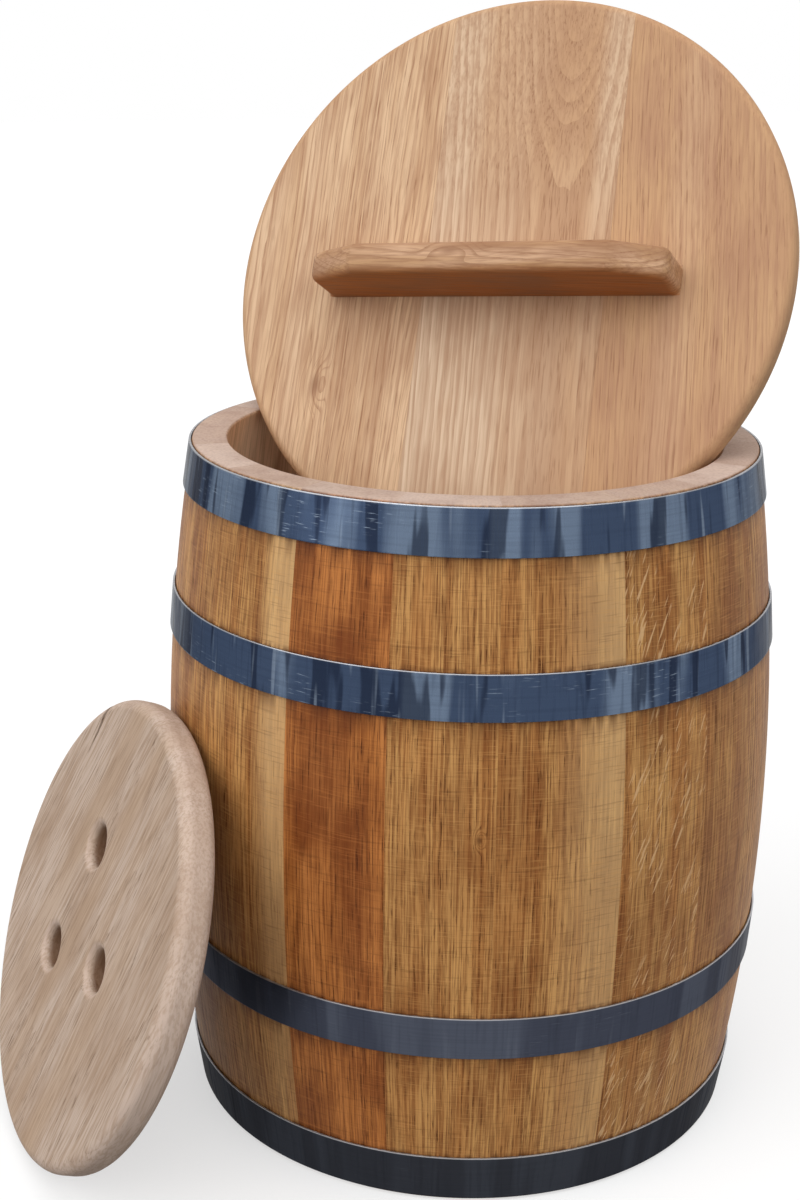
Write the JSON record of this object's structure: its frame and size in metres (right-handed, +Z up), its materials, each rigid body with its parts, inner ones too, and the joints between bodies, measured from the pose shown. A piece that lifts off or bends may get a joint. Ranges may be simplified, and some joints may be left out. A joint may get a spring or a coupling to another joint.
{
  "type": "sauerkraut barrel",
  "caption": "Bulged oak barrel of staves bound by steel hoops, with a round lid and bar handle leaning in its mouth and a press board with finger holes against its side.",
  "frame": {"origin": "centre of the whole set's footprint on the floor; the barrel's own axis is 64 mm towards +X from it", "axes": "+Z up along the barrel's axis; the press board leans on the -X side with its face towards -X; the lid's face looks between -X and -Y"},
  "size_m": [0.556, 0.428, 0.7665],
  "materials": {
    "stave_oak": "oiled oak, turned and scraped outside, fine grain and crossing tool scratches",
    "head_oak": "planed raw oak",
    "lid_oak": "sanded pale oak with a satin oil finish",
    "handle_oak": "sanded pale oak with rounded edges",
    "press_oak": "raw greyish oak, sanded, rounded over at the edge and the finger holes",
    "dowel_beech": "turned beech dowel",
    "hoop_steel": "cold-rolled blue-grey steel strip with scratches and streaky reflections",
    "rivet_steel": "hammered steel rivet",
    "screw_steel": "stainless countersunk wood screw"
  },
  "bodies": {
    "barrel": {"stave_01": "stave_oak", "stave_02": "stave_oak", "stave_03": "stave_oak", "stave_04": "stave_oak", "stave_05": "stave_oak", "stave_06": "stave_oak", "stave_07": "stave_oak", "stave_08": "stave_oak", "stave_09": "stave_oak", "stave_10": "stave_oak", "stave_11": "stave_oak", "stave_12": "stave_oak", "stave_13": "stave_oak", "stave_14": "stave_oak", "stave_15": "stave_oak", "stave_16": "stave_oak", "stave_17": "stave_oak", "stave_18": "stave_oak", "rim_hoop": "hoop_steel", "upper_hoop": "hoop_steel", "lower_hoop": "hoop_steel", "chime_hoop": "hoop_steel", "rim_hoop_rivet_1": "rivet_steel", "rim_hoop_rivet_2": "rivet_steel", "upper_hoop_rivet_1": "rivet_steel", "upper_hoop_rivet_2": "rivet_steel", "lower_hoop_rivet_1": "rivet_steel", "lower_hoop_rivet_2": "rivet_steel", "chime_hoop_rivet_1": "rivet_steel", "chime_hoop_rivet_2": "rivet_steel", "head_board_1": "head_oak", "head_board_2": "head_oak", "head_board_3": "head_oak", "head_board_4": "head_oak", "head_dowel_1": "dowel_beech", "head_dowel_2": "dowel_beech", "head_dowel_3": "dowel_beech", "head_dowel_4": "dowel_beech", "head_dowel_5": "dowel_beech", "head_dowel_6": "dowel_beech"},
    "lid": {"lid_board_1": "lid_oak", "lid_board_2": "lid_oak", "lid_board_3": "lid_oak", "lid_dowel_1": "dowel_beech", "lid_dowel_2": "dowel_beech", "lid_dowel_3": "dowel_beech", "lid_dowel_4": "dowel_beech", "lid_handle": "handle_oak", "handle_screw_1": "screw_steel", "handle_screw_2": "screw_steel", "handle_screw_3": "screw_steel"},
    "press_board": {"press_board_1": "press_oak", "press_board_2": "press_oak", "press_board_3": "press_oak", "press_dowel_1": "dowel_beech", "press_dowel_2": "dowel_beech", "press_dowel_3": "dowel_beech", "press_dowel_4": "dowel_beech"}
  },
  "joints": [
    {"name": "lid_lift", "type": "slide", "parent": "barrel", "child": "lid", "axis": [0, 0, 1], "range_m": [0, 0.22]},
    {"name": "press_board_pull", "type": "slide", "parent": "barrel", "child": "press_board", "axis": [-1, 0, 0], "range_m": [0, 0.2]}
  ]
}
